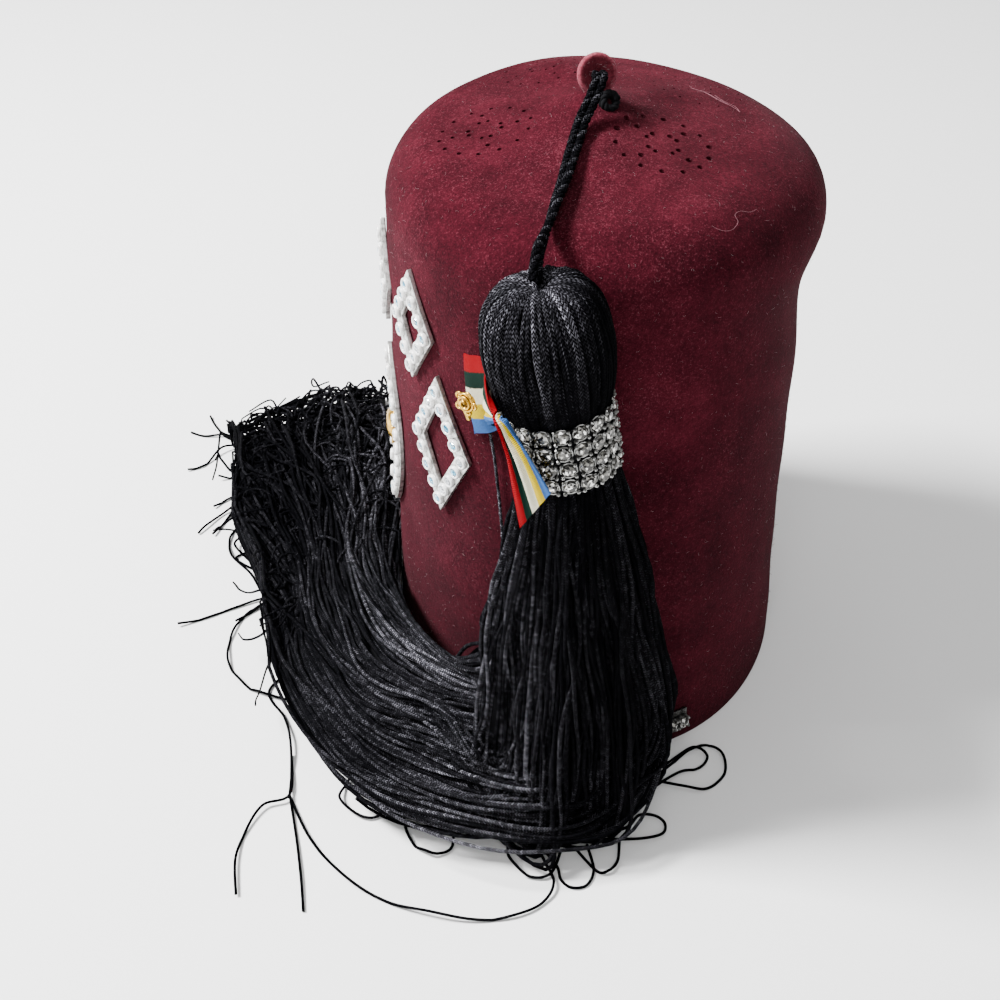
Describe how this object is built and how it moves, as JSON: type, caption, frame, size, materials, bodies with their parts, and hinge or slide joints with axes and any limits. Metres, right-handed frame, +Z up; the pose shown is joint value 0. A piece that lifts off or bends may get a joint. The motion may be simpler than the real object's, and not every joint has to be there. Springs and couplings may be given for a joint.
{
  "type": "fez hat",
  "caption": "Tall soft felt fez standing on its rim, with punched vents, a long corded tassel in a stone band, a striped ribbon and plain stone ornaments.",
  "frame": {"origin": "bottom middle of the object's box, in the plane of the rim and of the surface that the hat stands on; the cord is left out of the box", "axes": "+Z up, -X the front of the hat, -Y the side that the tassel hangs on"},
  "size_m": [0.2509, 0.2862, 0.2416],
  "materials": {
    "maroon_felt": "soft brushed wool felt",
    "button_felt": "thick felt with a fuzzy edge",
    "black_cord": "twisted cord with a slight sheen",
    "black_chainette": "knitted cords with a slight sheen",
    "cup_chain": "clear cut stones in pronged silver cups",
    "white_stones_on_silver": "white-ringed clear stones on polished plates",
    "striped_ribbon": "ribbed ribbon in five stripes",
    "gilt": "polished gilt"
  },
  "bodies": {
    "root": {"crown": "maroon_felt", "button": "button_felt", "tassel_cord": "black_cord", "tassel": "black_chainette", "tassel_band": "cup_chain", "front_lozenge": "white_stones_on_silver", "near_lozenge_1": "white_stones_on_silver", "near_lozenge_2": "white_stones_on_silver", "far_lozenge_1": "white_stones_on_silver", "far_lozenge_2": "white_stones_on_silver", "front_rosette": "white_stones_on_silver", "rim_stones": "white_stones_on_silver", "ribbon": "striped_ribbon", "ribbon_pin": "gilt"}
  },
  "joints": []
}
